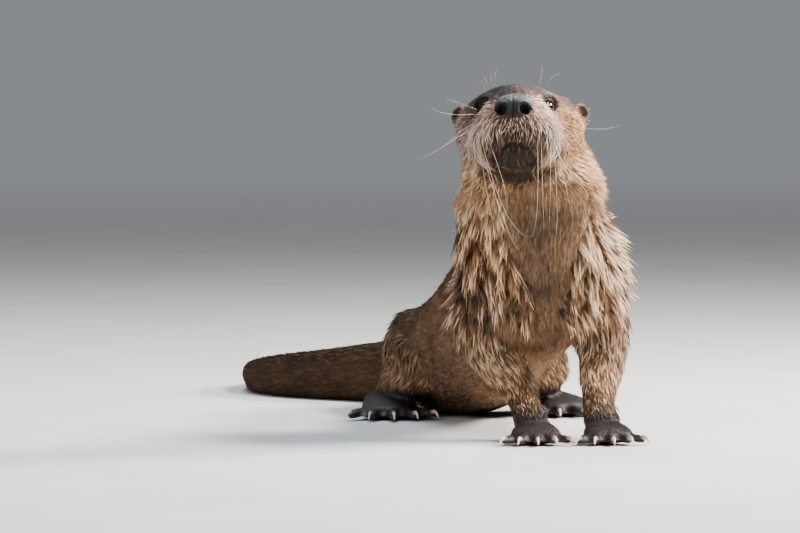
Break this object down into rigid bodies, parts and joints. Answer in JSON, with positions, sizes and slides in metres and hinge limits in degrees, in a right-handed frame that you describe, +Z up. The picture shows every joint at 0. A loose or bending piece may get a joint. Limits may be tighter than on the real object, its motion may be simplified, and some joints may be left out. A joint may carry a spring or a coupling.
{
  "type": "river otter",
  "caption": "Life-size river otter resting on its haunches and straight forelegs, head raised and tilted up, long tapering tail laid on the floor.",
  "frame": {"origin": "middle of the bounding box at floor level", "axes": "+Z up; -Y the way the chest and head face; +X the animal's left"},
  "size_m": [0.352, 0.8242, 0.2796],
  "materials": {
    "coat": "wet fur",
    "foot": "bare skin and short fur",
    "eye": "wet gloss"
  },
  "bodies": {
    "root": {"head": "coat", "neck": "coat", "trunk": "coat", "tail_base": "coat", "tail_mid": "coat", "tail_tip": "coat", "ear_left": "coat", "ear_right": "coat", "foreleg_left": "coat", "foreleg_right": "coat", "hindleg_left": "coat", "hindleg_right": "coat", "forepaw_left": "foot", "forepaw_right": "foot", "hindpaw_left": "foot", "hindpaw_right": "foot", "eye_left": "eye", "eye_right": "eye"}
  },
  "joints": []
}
